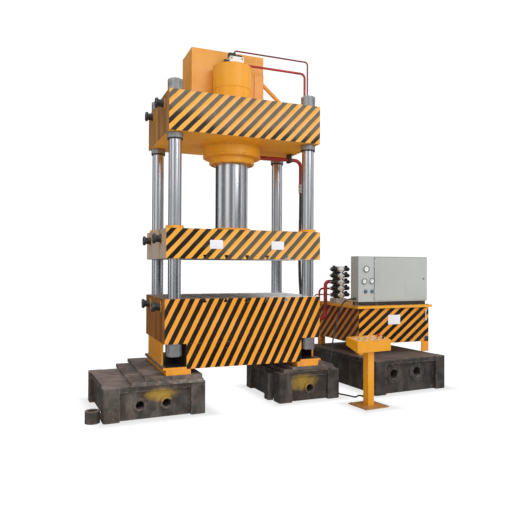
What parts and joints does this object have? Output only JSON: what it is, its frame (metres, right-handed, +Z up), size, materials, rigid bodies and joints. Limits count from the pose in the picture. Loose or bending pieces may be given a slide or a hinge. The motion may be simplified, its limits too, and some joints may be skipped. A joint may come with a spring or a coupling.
{
  "type": "hydraulic press",
  "caption": "Four-column hydraulic press with an upper cylinder, a sliding ram beam, a tee-slotted bed, a separate power unit, and a control pedestal, on cast support blocks",
  "frame": {"origin": "the floor point straight below the ram's axis", "axes": "+Z up along the ram, +X to the right along the press's front, +Y to the back"},
  "size_m": [4.847, 2.3844, 4.444],
  "materials": {
    "bed_finish": "gloss orange enamel with sloping black bars",
    "bed_base_finish": "gloss orange enamel with sloping black bars",
    "bed_feet_finish": "gloss enamel",
    "columns_finish": "ground and polished",
    "column_nuts_finish": "ground bright",
    "crown_finish": "gloss orange enamel with sloping black bars",
    "frame_lifting_loops_finish": "satin enamel",
    "slide_finish": "gloss orange enamel with sloping black bars",
    "slide_lifting_loops_finish": "satin enamel",
    "slide_bushes_finish": "turned",
    "slide_wipers_finish": "gloss enamel",
    "main_cylinder_finish": "gloss enamel",
    "cylinder_lock_nut_finish": "gloss enamel",
    "gland_ring_finish": "gloss enamel",
    "gland_bolts_finish": "oiled",
    "guide_bush_finish": "turned",
    "ram_finish": "ground and polished",
    "piston_finish": "ground bright",
    "piston_seals_finish": "moulded",
    "ram_flange_finish": "ground bright",
    "ram_flange_bolts_finish": "oiled",
    "prefill_valve_finish": "satin enamel",
    "solenoid_valves_finish": "moulded",
    "top_tank_finish": "gloss enamel",
    "pilot_pipe_finish": "gloss enamel",
    "pressure_pipe_finish": "gloss enamel",
    "return_pipes_finish": "gloss enamel",
    "pipe_clamps_finish": "oiled",
    "hose_fittings_finish": "zinc plated",
    "return_hose_finish": "wrapped",
    "unit_tank_finish": "gloss orange enamel with sloping black bars",
    "unit_lid_finish": "gloss enamel",
    "level_gauge_finish": "clear",
    "breather_cap_finish": "zinc plated",
    "motor_body_finish": "satin enamel",
    "motor_rotor_finish": "ground bright",
    "bell_housing_finish": "as cast",
    "pump_body_finish": "rough, rusted and oily",
    "valve_manifold_finish": "zinc plated",
    "cabinet_shell_finish": "textured light grey enamel",
    "cabinet_door_finish": "textured light grey enamel",
    "door_lock_finish": "zinc plated",
    "cabinet_meters_finish": "moulded rim and printed dial",
    "control_gear_finish": "moulded",
    "cabinet_button_left_finish": "moulded",
    "cabinet_button_right_finish": "moulded",
    "support_block_left_finish": "rough, rusted and oily",
    "support_block_right_finish": "rough, rusted and oily",
    "support_block_unit_finish": "rough, rusted and oily",
    "packing_plates_finish": "mill scale with rust and paint splashes",
    "pedestal_stand_finish": "gloss enamel",
    "pedestal_box_finish": "gloss enamel",
    "panel_lamps_finish": "coloured lens",
    "selector_knob_finish": "moulded",
    "stop_button_finish": "moulded",
    "push_button_1_finish": "moulded",
    "push_button_2_finish": "moulded",
    "push_button_3_finish": "moulded",
    "push_button_4_finish": "moulded",
    "cable_glands_finish": "moulded",
    "control_cable_finish": "smooth"
  },
  "bodies": {
    "frame_body": {"bed": "bed_finish", "bed_base": "bed_base_finish", "bed_feet": "bed_feet_finish", "columns": "columns_finish", "column_nuts": "column_nuts_finish", "crown": "crown_finish", "frame_lifting_loops": "frame_lifting_loops_finish", "main_cylinder": "main_cylinder_finish", "cylinder_lock_nut": "cylinder_lock_nut_finish", "gland_ring": "gland_ring_finish", "gland_bolts": "gland_bolts_finish", "guide_bush": "guide_bush_finish", "prefill_valve": "prefill_valve_finish", "solenoid_valves": "solenoid_valves_finish", "top_tank": "top_tank_finish", "pilot_pipe": "pilot_pipe_finish", "pressure_pipe": "pressure_pipe_finish", "return_pipes": "return_pipes_finish", "pipe_clamps": "pipe_clamps_finish", "hose_fittings": "hose_fittings_finish", "return_hose": "return_hose_finish", "unit_tank": "unit_tank_finish", "unit_lid": "unit_lid_finish", "level_gauge": "level_gauge_finish", "breather_cap": "breather_cap_finish", "motor_body": "motor_body_finish", "bell_housing": "bell_housing_finish", "pump_body": "pump_body_finish", "valve_manifold": "valve_manifold_finish", "cabinet_shell": "cabinet_shell_finish", "cabinet_meters": "cabinet_meters_finish", "control_gear": "control_gear_finish", "support_block_left": "support_block_left_finish", "support_block_right": "support_block_right_finish", "support_block_unit": "support_block_unit_finish", "packing_plates": "packing_plates_finish", "pedestal_stand": "pedestal_stand_finish", "pedestal_box": "pedestal_box_finish", "panel_lamps": "panel_lamps_finish", "cable_glands": "cable_glands_finish", "control_cable": "control_cable_finish"},
    "slide_body": {"slide": "slide_finish", "slide_bushes": "slide_bushes_finish", "slide_wipers": "slide_wipers_finish", "slide_lifting_loops": "slide_lifting_loops_finish", "ram": "ram_finish", "piston": "piston_finish", "piston_seals": "piston_seals_finish", "ram_flange": "ram_flange_finish", "ram_flange_bolts": "ram_flange_bolts_finish"},
    "rotor_body": {"motor_rotor": "motor_rotor_finish"},
    "door_body": {"cabinet_door": "cabinet_door_finish"},
    "lock_body": {"door_lock": "door_lock_finish"},
    "cabinet_button_left_body": {"cabinet_button_left": "cabinet_button_left_finish"},
    "cabinet_button_right_body": {"cabinet_button_right": "cabinet_button_right_finish"},
    "selector_body": {"selector_knob": "selector_knob_finish"},
    "stop_body": {"stop_button": "stop_button_finish"},
    "push_button_1_body": {"push_button_1": "push_button_1_finish"},
    "push_button_2_body": {"push_button_2": "push_button_2_finish"},
    "push_button_3_body": {"push_button_3": "push_button_3_finish"},
    "push_button_4_body": {"push_button_4": "push_button_4_finish"}
  },
  "joints": [
    {"name": "slide_stroke", "type": "slide", "parent": "frame_body", "child": "slide_body", "axis": [0, 0, 1], "range_m": [0, 0.8]},
    {"name": "motor_spin", "type": "hinge", "parent": "frame_body", "child": "rotor_body", "pos_m": [2.5, 0.62, 1.32], "axis": [1, 0, 0], "continuous": true},
    {"name": "door_hinge", "type": "hinge", "parent": "frame_body", "child": "door_body", "pos_m": [2.114, -0.047, 1.4935], "axis": [0, 0, 1], "range_deg": [-110, 0]},
    {"name": "lock_turn", "type": "hinge", "parent": "door_body", "child": "lock_body", "pos_m": [2.955, -0.047, 1.4935], "axis": [0, -1, 0], "range_deg": [0, 90]},
    {"name": "cabinet_button_left_press", "type": "slide", "parent": "frame_body", "child": "cabinet_button_left_body", "axis": [0, 1, 0], "range_m": [0, 0.004], "stiffness_N_per_m": 600, "springref_m": -0.003},
    {"name": "cabinet_button_right_press", "type": "slide", "parent": "frame_body", "child": "cabinet_button_right_body", "axis": [0, 1, 0], "range_m": [0, 0.004], "stiffness_N_per_m": 600, "springref_m": -0.003},
    {"name": "selector_turn", "type": "hinge", "parent": "frame_body", "child": "selector_body", "pos_m": [1.60353, -0.99199, 0.79816], "axis": [0.0163, -0.1546, 0.9878], "range_deg": [-45, 45]},
    {"name": "stop_press", "type": "slide", "parent": "frame_body", "child": "stop_body", "axis": [-0.0163, 0.1546, -0.9878], "range_m": [0, 0.005], "stiffness_N_per_m": 1000, "springref_m": -0.003},
    {"name": "push_button_1_press", "type": "slide", "parent": "frame_body", "child": "push_button_1_body", "axis": [-0.0163, 0.1546, -0.9878], "range_m": [0, 0.004], "stiffness_N_per_m": 500, "springref_m": -0.003},
    {"name": "push_button_2_press", "type": "slide", "parent": "frame_body", "child": "push_button_2_body", "axis": [-0.0163, 0.1546, -0.9878], "range_m": [0, 0.004], "stiffness_N_per_m": 500, "springref_m": -0.003},
    {"name": "push_button_3_press", "type": "slide", "parent": "frame_body", "child": "push_button_3_body", "axis": [-0.0163, 0.1546, -0.9878], "range_m": [0, 0.004], "stiffness_N_per_m": 500, "springref_m": -0.003},
    {"name": "push_button_4_press", "type": "slide", "parent": "frame_body", "child": "push_button_4_body", "axis": [-0.0163, 0.1546, -0.9878], "range_m": [0, 0.004], "stiffness_N_per_m": 500, "springref_m": -0.003}
  ]
}
